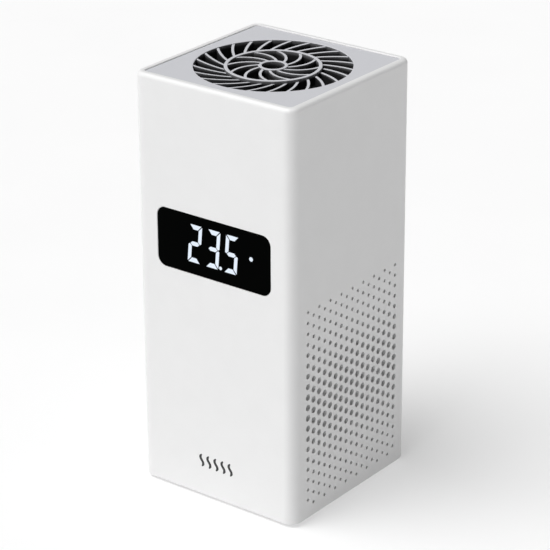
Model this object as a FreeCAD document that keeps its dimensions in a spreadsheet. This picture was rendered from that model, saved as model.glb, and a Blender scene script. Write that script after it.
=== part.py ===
"""Tower heater for a 3-D printer enclosure.

A square sleeve with perforated sides carries a swirl outlet grille on top and a number display in front.
Inside, a fan drives air up through a ceramic heater.

Row frame in millimetres: +Z up, the display faces -Y, and the origin is under the middle of the feet.
"""
import FreeCAD, Part
import math
import os
import re

import Sketcher

from FreeCAD import Placement, Rotation, Vector

DRIVING = {
    # casing
    "side": 66, "body_height": 149, "foot_drop": 1, "wall": 2.6, "corner_radius": 4,
    "rim_radius": 1.5, "rim_inner_radius": 0.4, "bottom_radius": 0.6, "fit_gap": 0.1,
    "ledge_width": 1.4, "ledge_height": 1.6,
    # perforated sides
    "hole_columns": 17, "hole_rows": 19, "column_pitch": 3.1, "row_pitch": 3.87,
    "first_row": 6.15, "hole_small": 0.6, "hole_large": 1.19,
    # outlet grille
    "plate_thick": 2.2, "plate_recess": 0.4, "outlet_radius": 26.5, "collar_wall": 1.2, "collar_depth": 9.6,
    "ring_radius": 16.4, "ring_wall": 1.3, "hub_radius": 5, "hub_hole": 3.8, "rib_thick": 0.9,
    "rib_depth": 4, "outer_ribs": 25, "inner_ribs": 12, "outer_sweep": 22.5, "inner_sweep": 41.6,
    "outer_phase": -1.3, "inner_phase": -7.8, "outer_bow": 0.44, "inner_bow": 0.49,
    "dip_at_ring": 1.1, "dip_at_collar": 0.3, "inner_rib_drop": 0.3, "outlet_edge": 0.25,
    "post_reach": 25, "post_radius": 2.6, "post_hole": 1,
    # display
    "display_width": 47.5, "display_height": 21.1, "display_z": 94, "display_corner": 3.3,
    "lens_thick": 1.2, "recess_edge": 0.3,
    "window_border": 2, "guide_depth": 3.7, "board_thin": 1, "digit_pitch": 7.7, "digit_rise": 0.6,
    "lamp_x": 15.9, "lamp_rise": 1.1, "display_screw_x": 26.9,
    # air duct and fan
    "duct_half": 26.3, "duct_wall": 1.2, "fan_z": 80, "fan_side": 50, "fan_height": 15, "fan_bore": 23.9,
    "fan_hole_reach": 20, "fan_hole": 2.15, "flange_half": 28.7, "flange_thick": 2, "heater_z": 96,
    "heater_height": 16, "neck_z": 114, "neck_radius": 25.3,
    "hub_cup": 12.5, "blade_tip": 23.3, "blades": 7, "shaft_radius": 0.97, "bearing_bore": 1,
    "bearing_radius": 2.5, "tube_radius": 3.6, "stator_radius": 9.6,
    # base
    "base_lift": 0.4, "base_thick": 2, "foot_reach": 23, "foot_radius": 5, "foot_pocket": 1,
    "base_screw_x": 18, "base_screw_y": 27.6, "boss_radius": 3, "boss_height": 10.6, "pilot_radius": 1.1,
    # main board and rear controls
    "board_y": 20, "board_thick": 1.6, "board_width": 50, "board_low": 12, "board_high": 74,
    "standoff_x": 21, "standoff_low": 17, "standoff_high": 69, "standoff_radius": 2.6,
    "control_z": 24, "inlet_x": -11, "inlet_nose": 4, "inlet_bore": 3, "inlet_pin": 1.25, "inlet_depth": 9,
    "button_x": 11, "button_radius": 4, "button_gap": 0.15, "button_proud": 0, "button_travel": 1.5,
}

doc = FreeCAD.newDocument("tower_heater")
sheet = doc.addObject("Spreadsheet::Sheet", "Sizes")
for row, (alias, number) in enumerate(DRIVING.items(), 1):
    sheet.set(f"A{row}", alias)
    sheet.set(f"B{row}", str(number))
    sheet.setAlias(f"B{row}", alias)
doc.recompute()

WORD = re.compile(r"[a-z][a-z_]*")
pieces = {}


# ---------------------------------------------------------------- formulas and placing

def bound(formula):
    """A formula of plain words as an expression on the sheet's cells."""
    return WORD.sub(lambda m: f"Sizes.{m.group()}" if m.group() in DRIVING else m.group(), str(formula))


def val(formula):
    """The number that a formula of the sheet's words gives."""
    return float(sheet.evalExpression(bound(formula)))


def bind(obj, prop, formula):
    obj.setExpression(prop, bound(formula))


def put(obj, x, y, z, rotation=None):
    """Places obj by three formulas, after an optional turn."""
    obj.Placement = Placement(Vector(), rotation or Rotation())
    for axis, formula in zip("xyz", (x, y, z)):
        bind(obj, f"Placement.Base.{axis}", formula)
    return obj


def keep(obj, node):
    """obj is a finished sub-part: its Label names its node and file."""
    obj.Label = node
    pieces[node] = obj
    return obj


# ---------------------------------------------------------------- primitives and booleans

ALONG_Y = Rotation(Vector(1, 0, 0), -90)
ALONG_X = Rotation(Vector(0, 1, 0), 90)


def block(name, size, middle, low_z):
    """A box of three formulas, centred on middle's x and y, standing on low_z."""
    box = doc.addObject("Part::Box", name)
    for prop, formula in zip(("Length", "Width", "Height"), size):
        bind(box, prop, formula)
    return put(box, f"({middle[0]}) - ({size[0]}) / 2", f"({middle[1]}) - ({size[1]}) / 2", low_z)


def rod(name, radius, length, at, rotation=None):
    """A cylinder that starts at `at` and runs along +Z, or along the turned axis."""
    cylinder = doc.addObject("Part::Cylinder", name)
    bind(cylinder, "Radius", radius)
    bind(cylinder, "Height", length)
    return put(cylinder, *at, rotation)


def fuse(name, *shapes):
    joined = doc.addObject("Part::MultiFuse", name)
    joined.Shapes = list(shapes)
    return joined


def cut(name, base, *tools):
    tool = tools[0] if len(tools) == 1 else fuse(name + "_tools", *tools)
    difference = doc.addObject("Part::Cut", name)
    difference.Base = base
    difference.Tool = tool
    return difference


def group(name, members):
    """Identical loose pieces that share one node."""
    compound = doc.addObject("Part::Compound", name)
    compound.Links = list(members)
    return compound


def ring(name, outer, inner, length, at, rotation=None):
    return cut(name, rod(name + "_out", outer, length, at, rotation),
               rod(name + "_in", inner, length, at, rotation))


def four(x, y):
    """The four corners (+-x, +-y) as formulas."""
    return [(f"{sx} * ({x})", f"{sy} * ({y})") for sx in (1, -1) for sy in (1, -1)]


# ---------------------------------------------------------------- PartDesign features

def new_body(name):
    return doc.addObject("PartDesign::Body", name)


def sketch_on(body, name, plane="XY_Plane", shift=("0", "0", "0")):
    """A sketch on the body's own origin plane, moved in the plane and along its normal by formulas."""
    sketch = body.newObject("Sketcher::SketchObject", name)
    support = next(f for f in body.Origin.OriginFeatures if f.Role == plane)
    sketch.AttachmentSupport = [(support, "")]
    sketch.MapMode = "FlatFace"
    for axis, formula in zip("xyz", shift):
        bind(sketch, f"AttachmentOffset.Base.{axis}", formula)
    return sketch


def add_rectangle(sketch, width, depth):
    """A rectangle centred on the sketch's origin, its two sizes bound to formulas."""
    w, d = val(width) / 2, val(depth) / 2
    corners = [Vector(-w, -d), Vector(w, -d), Vector(w, d), Vector(-w, d)]
    first = sketch.GeometryCount
    for i in range(4):
        sketch.addGeometry(Part.LineSegment(corners[i], corners[(i + 1) % 4]), False)
    for i in range(4):
        sketch.addConstraint(Sketcher.Constraint("Coincident", first + i, 2, first + (i + 1) % 4, 1))
    for i, way in enumerate(("Horizontal", "Vertical", "Horizontal", "Vertical")):
        sketch.addConstraint(Sketcher.Constraint(way, first + i))
    sketch.addConstraint(Sketcher.Constraint("Symmetric", first, 1, first + 1, 2, -1, 1))
    sizes = (("DistanceX", first, 2 * w, width), ("DistanceY", first + 1, 2 * d, depth))
    for kind, edge, size, formula in sizes:
        index = sketch.addConstraint(Sketcher.Constraint(kind, edge, 1, edge, 2, size))
        bind(sketch, f"Constraints[{index}]", formula)
    return sketch


def add_outline(sketch, corners):
    """A closed outline of straight lines."""
    for start, end in zip(corners, corners[1:] + corners[:1]):
        sketch.addGeometry(Part.LineSegment(start, end), False)


def add_slot(sketch, x, y, half_wide, half_high):
    """A plain rectangle about a middle point."""
    add_outline(sketch, [Vector(x + sx * half_wide, y + sy * half_high)
                         for sx, sy in ((-1, -1), (1, -1), (1, 1), (-1, 1))])


def add_circle(sketch, radius):
    """A circle on the sketch's origin with its radius bound to a formula."""
    first = sketch.GeometryCount
    sketch.addGeometry(Part.Circle(Vector(), Vector(0, 0, 1), val(radius)), False)
    sketch.addConstraint(Sketcher.Constraint("Coincident", first, 3, -1, 1))
    index = sketch.addConstraint(Sketcher.Constraint("Radius", first, val(radius)))
    bind(sketch, f"Constraints[{index}]", radius)
    return sketch


def add_circles(sketch, radius, centres):
    """Equal circles whose centres are formulas."""
    for x, y in centres:
        first = sketch.GeometryCount
        sketch.addGeometry(Part.Circle(Vector(val(x), val(y)), Vector(0, 0, 1), val(radius)), False)
        index = sketch.addConstraint(Sketcher.Constraint("Radius", first, val(radius)))
        bind(sketch, f"Constraints[{index}]", radius)
    return sketch


def pad(body, sketch, length, reverse=False):
    feature = body.newObject("PartDesign::Pad", sketch.Name + "_pad")
    feature.Profile = sketch
    bind(feature, "Length", length)
    feature.Reversed = reverse
    doc.recompute()
    return feature


def pocket(body, sketch, length=None, reverse=False):
    """Cuts the sketch to a depth, or through all without one, and makes sure that it cut something."""
    before = body.Shape.Volume
    feature = body.newObject("PartDesign::Pocket", sketch.Name + "_pocket")
    feature.Profile = sketch
    feature.Reversed = reverse
    if length is None:
        feature.Type = "ThroughAll"
    else:
        bind(feature, "Length", length)
    doc.recompute()
    assert body.Shape.Volume < before - 1e-6, f"{sketch.Name} cut nothing"
    return feature


def turn(body, sketch, cuts=False):
    """A full revolution of the sketch about the Z axis, added or cut."""
    kind = "PartDesign::Groove" if cuts else "PartDesign::Revolution"
    feature = body.newObject(kind, sketch.Name + "_turn")
    feature.Profile = sketch
    feature.ReferenceAxis = (next(f for f in body.Origin.OriginFeatures if f.Role == "Z_Axis"), [""])
    feature.Angle = 360
    doc.recompute()
    return feature


def around(body, feature, count):
    """Repeats a feature evenly about the Z axis."""
    pattern = body.newObject("PartDesign::PolarPattern", feature.Name + "_pattern")
    pattern.Originals = [feature]
    pattern.Axis = (next(f for f in body.Origin.OriginFeatures if f.Role == "Z_Axis"), [""])
    pattern.Angle = 360
    bind(pattern, "Occurrences", count)
    body.Tip = pattern
    doc.recompute()
    return pattern


def round_edges(body, name, radius, chosen):
    """Fillets the tip's edges that `chosen` accepts."""
    base = body.Tip
    names = [f"Edge{i}" for i, edge in enumerate(base.Shape.Edges, 1) if chosen(edge)]
    assert names, f"{name} found no edge"
    feature = body.newObject("PartDesign::Fillet", name)
    feature.Base = (base, names)
    bind(feature, "Radius", radius)
    doc.recompute()
    return feature


def runs_along(axis, reach=None):
    """Accepts straight edges along an axis, and only those with |x| and |y| under reach if it is given."""
    def chosen(edge):
        if not isinstance(edge.Curve, Part.Line) or abs(abs(edge.Curve.Direction.dot(axis)) - 1) > 1e-6:
            return False
        middle = edge.CenterOfMass
        return reach is None or max(abs(middle.x), abs(middle.y)) < reach
    return chosen


def level_edge(z, low, high):
    """Accepts edges in the level z whose middle is between low and high from the axis, along X or Y."""
    def chosen(edge):
        box, middle = edge.BoundBox, edge.CenterOfMass
        return abs(box.ZMin - z) < 1e-4 and abs(box.ZMax - z) < 1e-4 \
            and low < max(abs(middle.x), abs(middle.y)) < high
    return chosen


def upright_edge(y):
    """Accepts edges that lie in the upright plane at y."""
    return lambda edge: max(abs(edge.BoundBox.YMin - y), abs(edge.BoundBox.YMax - y)) < 1e-3


def polar(radius, degrees):
    return Vector(radius * math.cos(math.radians(degrees)), radius * math.sin(math.radians(degrees)), 0)


def add_rib(sketch, start, middle, end, thick):
    """A strip of even thickness along the arc through three points, as a closed profile."""
    centre_line = Part.Arc(start, middle, end).toShape().Curve
    centre, radius = centre_line.Center, centre_line.Radius
    sides = []
    for offset in (-thick / 2, thick / 2):
        sides.append([centre + (p - centre).normalize() * (radius + offset) for p in (start, middle, end)])
    inner, outer = sides
    sketch.addGeometry(Part.Arc(*inner), False)
    sketch.addGeometry(Part.LineSegment(inner[2], outer[2]), False)
    sketch.addGeometry(Part.Arc(*outer), False)
    sketch.addGeometry(Part.LineSegment(outer[0], inner[0]), False)
    return sketch


# ---------------------------------------------------------------- heights and places used by several pieces

TOP = "(foot_drop + body_height)"
PLATE_TOP = f"({TOP} - plate_recess)"
PLATE_LOW = f"({PLATE_TOP} - plate_thick)"
COLLAR_LOW = f"({PLATE_TOP} - collar_depth)"
INNER = "(side / 2 - wall)"
BASE_LOW = "(foot_drop + base_lift)"
BASE_TOP = f"({BASE_LOW} + base_thick)"
FRONT = "(side / 2)"
LENS_BACK = f"({FRONT} - lens_thick)"
GUIDE_BACK = f"({LENS_BACK} - 0.05 - guide_depth)"
BOARD_BACK = "(board_y + board_thick)"
FAN_TOP = "(fan_z + fan_height)"
Z_WAY, Y_WAY = Vector(0, 0, 1), Vector(0, 1, 0)
FEET = four("foot_reach", "foot_reach - 3.5")
BASE_SCREWS = four("base_screw_x", "base_screw_y")
BOARD_HOLES = [(x, z) for x in ("standoff_x", "-standoff_x") for z in ("standoff_low", "standoff_high")]
LEAD_X, LEAD_Z = 6, "(heater_z + 8)"
FAN_LEAD_X, RIBBON_X = 1.2, -14.5
AGAINST_Y = Rotation(Vector(1, 0, 0), 90)


# ---------------------------------------------------------------- casing

def perforations(sketch):
    """Staggered columns of holes that swell towards the middle row."""
    columns, rows = int(val("hole_columns")), int(val("hole_rows"))
    pitch_y, pitch_z = val("column_pitch"), val("row_pitch")
    low, small, large = val("first_row"), val("hole_small"), val("hole_large")
    span = (rows - 0.5) * pitch_z
    for column in range(columns):
        y = (column - (columns - 1) / 2) * pitch_y
        stagger = pitch_z / 2 if column % 2 == 0 else 0
        for line in range(rows):
            rise = stagger + line * pitch_z
            swell = math.sin(math.pi * rise / span) ** 2
            centre = Vector(y, low + rise)
            sketch.addGeometry(Part.Circle(centre, Vector(0, 0, 1), small + (large - small) * swell), False)
    return sketch


def body_sleeve():
    body = new_body("sleeve")
    outline = add_rectangle(sketch_on(body, "sleeve_outline", shift=("0", "0", "foot_drop")), "side", "side")
    pad(body, outline, "body_height")
    round_edges(body, "sleeve_corners", "corner_radius", runs_along(Z_WAY))
    hollow = sketch_on(body, "sleeve_hollow", shift=("0", "0", TOP))
    pocket(body, add_rectangle(hollow, f"2 * {INNER}", f"2 * {INNER}"))
    round_edges(body, "sleeve_inner_corners", "corner_radius - wall", runs_along(Z_WAY, val(INNER) + 0.1))
    ledge = sketch_on(body, "sleeve_ledge", shift=("0", "0", f"{PLATE_LOW} - ledge_height"))
    add_rectangle(ledge, f"2 * {INNER} + 0.4", f"2 * {INNER} + 0.4")
    add_rectangle(ledge, f"2 * ({INNER} - ledge_width)", f"2 * ({INNER} - ledge_width)")
    pad(body, ledge, "ledge_height")
    recess = sketch_on(body, "lens_recess", "XZ_Plane", ("0", "display_z", FRONT))
    add_rectangle(recess, "display_width + 2 * fit_gap", "display_height + 2 * fit_gap")
    pocket(body, recess, "lens_thick")
    wall_back = -val(LENS_BACK)
    round_edges(body, "lens_recess_corners", "display_corner + fit_gap",
                lambda edge: runs_along(Y_WAY)(edge) and edge.CenterOfMass.y < wall_back)
    front_face, half_wide, display_z = -val(FRONT), val("display_width / 2 + 1"), val("display_z")
    round_edges(body, "lens_recess_edge", "recess_edge",
                lambda edge: upright_edge(front_face)(edge) and abs(edge.CenterOfMass.x) < half_wide
                and abs(edge.CenterOfMass.z - display_z) < half_wide)
    window = sketch_on(body, "display_window", "XZ_Plane", ("0", "display_z", FRONT))
    add_rectangle(window, "display_width - 2 * window_border", "display_height - 2 * window_border")
    pocket(body, window, "wall + 0.5")
    pocket(body, perforations(sketch_on(body, "side_holes", "YZ_Plane", ("0", "0", FRONT))))
    rear_holes = sketch_on(body, "rear_holes", "XZ_Plane", ("0", "control_z", f"-{FRONT}"))
    add_circles(rear_holes, "inlet_nose + fit_gap", [("inlet_x", "0")])
    add_circles(rear_holes, "button_radius + button_gap", [("button_x", "0")])
    pocket(body, rear_holes, "wall + 1", reverse=True)
    bosses = sketch_on(body, "base_bosses", shift=("0", "0", BASE_TOP))
    pad(body, add_circles(bosses, "boss_radius", BASE_SCREWS), "boss_height")
    pilots = sketch_on(body, "base_pilots", shift=("0", "0", BASE_TOP))
    add_circles(pilots, "pilot_radius", BASE_SCREWS)
    pocket(body, pilots, "boss_height - 1.6", reverse=True)
    standoffs = sketch_on(body, "board_standoffs", "XZ_Plane", ("0", "0", f"-{BOARD_BACK}"))
    add_circles(standoffs, "standoff_radius", BOARD_HOLES)
    pad(body, standoffs, f"{INNER} + 0.2 - {BOARD_BACK}", reverse=True)
    standoff_pilots = sketch_on(body, "standoff_pilots", "XZ_Plane", ("0", "0", f"-{BOARD_BACK}"))
    pocket(body, add_circles(standoff_pilots, "0.9", BOARD_HOLES), "7")
    display_ends = [("display_screw_x", "display_z"), ("-display_screw_x", "display_z")]
    stubs = sketch_on(body, "display_stubs", "XZ_Plane", ("0", "0", GUIDE_BACK))
    pad(body, add_circles(stubs, "1.9", display_ends), f"{INNER} + 0.2 - {GUIDE_BACK}")
    stub_pilots = sketch_on(body, "stub_pilots", "XZ_Plane", ("0", "0", GUIDE_BACK))
    pocket(body, add_circles(stub_pilots, "0.7", display_ends), "3.6", reverse=True)
    edge = val(FRONT)
    round_edges(body, "rim_outside", "rim_radius", level_edge(val(TOP), edge - 2, edge + 1))
    round_edges(body, "rim_inside", "rim_inner_radius", level_edge(val(TOP), 5, val(INNER) + 0.1))
    round_edges(body, "bottom_outside", "bottom_radius", level_edge(val("foot_drop"), edge - 2, edge + 1))
    return keep(body, "body_sleeve")


def top_grille():
    """The outlet plate with its collar, two swirls of ribs, ring, hub and screw posts."""
    body = new_body("grille")
    width = f"2 * ({INNER} - fit_gap)"
    plate = sketch_on(body, "plate", shift=("0", "0", PLATE_LOW))
    pad(body, add_rectangle(plate, width, width), "plate_thick")
    round_edges(body, "plate_corners", "corner_radius - wall - fit_gap", runs_along(Z_WAY))
    pocket(body, add_circle(sketch_on(body, "outlet", shift=("0", "0", PLATE_TOP)), "outlet_radius"))
    collar = sketch_on(body, "collar", shift=("0", "0", COLLAR_LOW))
    add_circle(add_circle(collar, "outlet_radius"), "outlet_radius + collar_wall")
    pad(body, collar, "collar_depth - 0.6")
    thick, ring_middle = val("rib_thick"), val("ring_radius - ring_wall / 2")
    rib_low = f"{PLATE_TOP} - rib_depth"
    collar_middle = val("outlet_radius + collar_wall / 2")
    sweep, phase, bow = val("outer_sweep"), val("outer_phase"), val("outer_bow")
    outer = sketch_on(body, "outer_rib", shift=("0", "0", rib_low))
    add_rib(outer, polar(collar_middle, phase), polar((collar_middle + ring_middle) / 2, phase + bow * sweep),
            polar(ring_middle, phase + sweep), thick)
    around(body, pad(body, outer, "rib_depth - 0.2"), "outer_ribs")
    dip = sketch_on(body, "rib_dip", "XZ_Plane", ("0", PLATE_TOP, "0"))
    low_in, low_out = val("dip_at_ring"), val("dip_at_collar")
    wedge = [Vector(val("ring_radius") - 1.3, -low_in), Vector(val("outlet_radius"), -low_out),
             Vector(val("outlet_radius"), 1), Vector(val("ring_radius") - 1.3, 1)]
    add_outline(dip, wedge)
    turn(body, dip, cuts=True)
    ring_sketch = sketch_on(body, "grille_ring", shift=("0", "0", rib_low))
    pad(body, add_circle(add_circle(ring_sketch, "ring_radius"), "ring_radius - ring_wall"), "rib_depth")
    hub_middle = val("(hub_radius + hub_hole) / 2")
    sweep, phase, bow = val("inner_sweep"), val("inner_phase"), val("inner_bow")
    inner = sketch_on(body, "inner_rib", shift=("0", "0", rib_low))
    add_rib(inner, polar(hub_middle, phase), polar((hub_middle + ring_middle) / 2, phase + bow * sweep),
            polar(ring_middle, phase + sweep), thick)
    around(body, pad(body, inner, "rib_depth - inner_rib_drop"), "inner_ribs")
    hub = sketch_on(body, "grille_hub", shift=("0", "0", rib_low))
    pad(body, add_circle(hub, "hub_radius"), "rib_depth")
    hub_hole = sketch_on(body, "grille_hub_hole", shift=("0", "0", PLATE_TOP))
    pocket(body, add_circle(hub_hole, "hub_hole"), "rib_depth + 1")
    plate_top = val(PLATE_TOP)
    round_edges(body, "outlet_edges", "outlet_edge",
                lambda edge: isinstance(edge.Curve, Part.Circle) and edge.Length > 20
                and max(abs(edge.BoundBox.ZMin - plate_top), abs(edge.BoundBox.ZMax - plate_top)) < 1e-3)
    posts = four("post_reach", "post_reach")
    post_sketch = sketch_on(body, "posts", shift=("0", "0", COLLAR_LOW))
    pad(body, add_circles(post_sketch, "post_radius", posts), f"{PLATE_LOW} - {COLLAR_LOW} + 0.2")
    post_pilots = sketch_on(body, "post_pilots", shift=("0", "0", COLLAR_LOW))
    pocket(body, add_circles(post_pilots, "post_hole", posts), "6.5", reverse=True)
    return keep(body, "top_grille")


def base_cover():
    """The floor plate, flush inside the sleeve, with a pocket for each foot and a hole under each boss."""
    body = new_body("base")
    width = f"2 * ({INNER} - fit_gap)"
    plate = sketch_on(body, "base_plate", shift=("0", "0", BASE_LOW))
    pad(body, add_rectangle(plate, width, width), "base_thick")
    round_edges(body, "base_corners", "corner_radius - wall - fit_gap", runs_along(Z_WAY))
    feet = sketch_on(body, "foot_pockets", shift=("0", "0", BASE_LOW))
    add_circles(feet, "foot_radius + fit_gap", FEET)
    pocket(body, feet, "foot_pocket", reverse=True)
    holes = sketch_on(body, "screw_clearance", shift=("0", "0", BASE_TOP))
    pocket(body, add_circles(holes, "pilot_radius + 0.25", BASE_SCREWS))
    return keep(body, "base_cover")


def rubber_feet():
    feet = []
    for i, (x, y) in enumerate(FEET):
        foot = doc.addObject("Part::Cone", f"foot_{i}")
        bind(foot, "Radius1", "foot_radius - 0.5")
        bind(foot, "Radius2", "foot_radius")
        bind(foot, "Height", "foot_drop + base_lift")
        put(foot, x, y, "0")
        plug = rod(f"foot_plug_{i}", "foot_radius", "foot_pocket", (x, y, BASE_LOW))
        feet.append(fuse(f"foot_whole_{i}", foot, plug))
    return keep(group("feet", feet), "rubber_feet")


def screws(node, places, head, head_high, shank, length, rotation=None, way=Z_WAY):
    """Cross-recess screws: each place is where the head's underside sits, and the shank runs along `way`."""
    made = []
    for i, (x, y, z) in enumerate(places):
        outer_end = tuple(f"({c}) - ({head_high}) * {w}" for c, w in zip((x, y, z), way))
        top = rod(f"{node}_head_{i}", head, head_high, outer_end, rotation)
        stem = rod(f"{node}_shank_{i}", shank, length, (x, y, z), rotation)
        slots = [cross_bar(f"{node}_slot_{i}{k}", head, head_high, outer_end, rotation, k) for k in (0, 1)]
        made.append(cut(f"{node}_{i}", fuse(f"{node}_whole_{i}", top, stem), *slots))
    return keep(group(node + "_set", made), node)


def cross_bar(name, head, head_high, at, rotation, quarter):
    """One bar of a screw's cross recess, sunk part of the way into the head."""
    long, narrow = f"({head}) * 1.2", f"({head}) * 0.26"
    length, width = (long, narrow) if quarter == 0 else (narrow, long)
    bar = doc.addObject("Part::Box", name)
    bind(bar, "Length", length)
    bind(bar, "Width", width)
    bind(bar, "Height", f"({head_high}) * 0.6")
    corner = (rotation or Rotation()).multVec(Vector(-val(length) / 2, -val(width) / 2, 0))
    return put(bar, *(f"({c}) + ({shift})" for c, shift in zip(at, corner)), rotation)


# ---------------------------------------------------------------- display

def display_lens():
    body = new_body("lens")
    outline = sketch_on(body, "lens_outline", "XZ_Plane", ("0", "display_z", LENS_BACK))
    pad(body, add_rectangle(outline, "display_width", "display_height"), "lens_thick")
    round_edges(body, "lens_corners", "display_corner", runs_along(Y_WAY))
    round_edges(body, "lens_front_edge", "0.15", upright_edge(-val(FRONT)))
    return keep(body, "display_lens")


def light_guide():
    """The white moulding between lens and lamps, with a well for each of seven bars in three digits."""
    body = new_body("guide")
    depth = "guide_depth"
    outline = sketch_on(body, "guide_outline", "XZ_Plane", ("0", "display_z", GUIDE_BACK))
    width, height = "display_width - 2 * window_border - 0.4", "display_height - 2 * window_border - 0.4"
    pad(body, add_rectangle(outline, width, height), depth)
    wells = sketch_on(body, "bar_wells", "XZ_Plane", ("0", "display_z + digit_rise", GUIDE_BACK))
    pitch, half_high, half_wide = val("digit_pitch"), 5.6, 2.1
    for digit in (-1, 0, 1):
        middle = digit * pitch
        for z in (-half_high, 0, half_high):
            add_slot(wells, middle, z, 1.4, 0.5)
        for x in (-half_wide, half_wide):
            for z in (-half_high / 2, half_high / 2):
                add_slot(wells, middle + x, z, 0.4, 1.9)
    lamp = Vector(val("lamp_x"), val("lamp_rise - digit_rise"))
    wells.addGeometry(Part.Circle(lamp, Vector(0, 0, 1), 0.8), False)
    pocket(body, wells, "guide_depth - 0.6", reverse=True)
    return keep(body, "display_light_guide")


def display_board():
    low = "display_z - display_height / 2 + 0.6"
    board = block("display_board_plate", ("2 * display_screw_x + 4", "board_thin", "display_height - 1.2"),
                  ("0", f"-{GUIDE_BACK} + board_thin / 2"), low)
    start = f"-{GUIDE_BACK} - 0.5"
    holes = [rod(f"display_board_hole_{i}", "0.9", "board_thin + 1", (x, start, "display_z"), ALONG_Y)
             for i, x in enumerate(("display_screw_x", "-display_screw_x"))]
    return keep(cut("display_board_cut", board, *holes), "display_board")


def display_lamps():
    """A lamp on the board under each digit's wells."""
    lamps, size = [], ("0.7", "0.6", "1.6")
    for digit in (-1, 0, 1):
        for x, z in ((-2.1, 2), (2.1, 2), (-2.1, -3.6), (2.1, -3.6)):
            middle = (f"{digit} * digit_pitch + {x}", f"-{GUIDE_BACK} - 0.3")
            lamps.append(block(f"lamp_{len(lamps)}", size, middle, f"display_z + digit_rise + {z}"))
    return keep(group("lamps", lamps), "display_lamps")


def display_screws():
    behind = f"-{GUIDE_BACK} + board_thin"
    places = [(x, behind, "display_z") for x in ("display_screw_x", "-display_screw_x")]
    return screws("display_screws", places, "1.5", "0.9", "0.7", "board_thin + 3.4", AGAINST_Y, (0, -1, 0))


# ---------------------------------------------------------------- duct and fan

def air_duct():
    """A square trunk for fan and heater, a shoulder, a round neck and the flange under the grille."""
    body = new_body("duct")
    trunk = sketch_on(body, "trunk", shift=("0", "0", "fan_z"))
    pad(body, add_rectangle(trunk, "2 * duct_half", "2 * duct_half"), "neck_z + 1.5 - fan_z")
    round_edges(body, "trunk_corners", "2.5", runs_along(Z_WAY))
    inside = sketch_on(body, "trunk_inside", shift=("0", "0", "fan_z"))
    pocket(body, add_rectangle(inside, "2 * (duct_half - duct_wall)", "2 * (duct_half - duct_wall)"),
           "neck_z - fan_z", reverse=True)
    neck = sketch_on(body, "neck", shift=("0", "0", "neck_z"))
    pad(body, add_circle(neck, "neck_radius + duct_wall"), f"{COLLAR_LOW} - neck_z")
    flange = sketch_on(body, "flange", shift=("0", "0", f"{COLLAR_LOW} - flange_thick"))
    pad(body, add_rectangle(flange, "2 * flange_half", "2 * flange_half"), "flange_thick")
    bore = sketch_on(body, "neck_bore", shift=("0", "0", COLLAR_LOW))
    pocket(body, add_circle(bore, "neck_radius"), f"{COLLAR_LOW} - neck_z")
    screw_holes = sketch_on(body, "flange_holes", shift=("0", "0", COLLAR_LOW))
    add_circles(screw_holes, "post_hole + 0.3", four("post_reach", "post_reach"))
    pocket(body, screw_holes, "flange_thick")
    lead_slot = sketch_on(body, "lead_slot", "XZ_Plane", ("0", LEAD_Z, "-(duct_half + 0.5)"))
    pocket(body, add_rectangle(lead_slot, f"2 * {LEAD_X} + 3", "3"), "duct_wall + 0.6", reverse=True)
    fan_lead_hole = sketch_on(body, "fan_lead_hole", "XZ_Plane", ("0", "0", "-(duct_half + 0.5)"))
    add_circles(fan_lead_hole, "0.7", [(str(FAN_LEAD_X), f"{FAN_TOP} + 0.45")])
    pocket(body, fan_lead_hole, "duct_wall + 0.6", reverse=True)
    return keep(body, "air_duct")


def grille_screws():
    places = [(x, y, f"{COLLAR_LOW} - flange_thick") for x, y in four("post_reach", "post_reach")]
    return screws("grille_screws", places, "2.1", "1.4", "post_hole", "flange_thick + 5.5")


def fan_plate():
    """The square plate that closes the trunk from below and leaves only the fan's mouth open."""
    plate = block("fan_plate_slab", ("2 * flange_half", "2 * flange_half", "flange_thick"), ("0", "0"),
                  "fan_z - flange_thick")
    below, through = "fan_z - flange_thick - 1", "flange_thick + 2"
    mouth = rod("fan_mouth", "fan_bore - 0.4", through, ("0", "0", below))
    notch = block("lead_notch", (f"2 * {LEAD_X} + 6", "4", through), ("0", "flange_half"), below)
    ribbon_notch = block("ribbon_notch", ("8", "4.8", through), (str(RIBBON_X), "-flange_half"), below)
    holes = [rod(f"fan_plate_hole_{i}", "fan_hole - 0.3", through, (x, y, below))
             for i, (x, y) in enumerate(four("fan_hole_reach", "fan_hole_reach"))]
    return keep(cut("fan_plate_cut", plate, mouth, notch, ribbon_notch, *holes), "fan_plate")


def fan_frame():
    body = new_body("frame")
    low = sketch_on(body, "frame_low", shift=("0", "0", "fan_z"))
    pad(body, add_rectangle(low, "fan_side - 0.2", "fan_side - 0.2"), "fan_height")
    round_edges(body, "frame_corners", "3", runs_along(Z_WAY))
    waist = sketch_on(body, "frame_waist", shift=("0", "0", "fan_z + 3"))
    add_circle(add_rectangle(waist, "fan_side + 2", "fan_side + 2"), "fan_side / 2 - 0.3")
    pocket(body, waist, "fan_height - 6", reverse=True)
    bore = sketch_on(body, "frame_bore", shift=("0", "0", FAN_TOP))
    pocket(body, add_circle(bore, "fan_bore"))
    holes = sketch_on(body, "frame_holes", shift=("0", "0", FAN_TOP))
    pocket(body, add_circles(holes, "fan_hole", four("fan_hole_reach", "fan_hole_reach")))
    strut = sketch_on(body, "strut", shift=("(fan_bore + hub_cup) / 2", "0", f"{FAN_TOP} - 2"))
    around(body, pad(body, add_rectangle(strut, "fan_bore - hub_cup + 1.5", "2"), "2"), "4")
    seat = sketch_on(body, "motor_seat", shift=("0", "0", f"{FAN_TOP} - 2"))
    pad(body, add_circle(seat, "hub_cup"), "2")
    tube = sketch_on(body, "bearing_tube", shift=("0", "0", "fan_z + 3.6"))
    add_circle(add_circle(tube, "tube_radius"), "bearing_radius")
    pad(body, tube, "fan_height - 5.4")
    return keep(body, "fan_frame")


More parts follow.
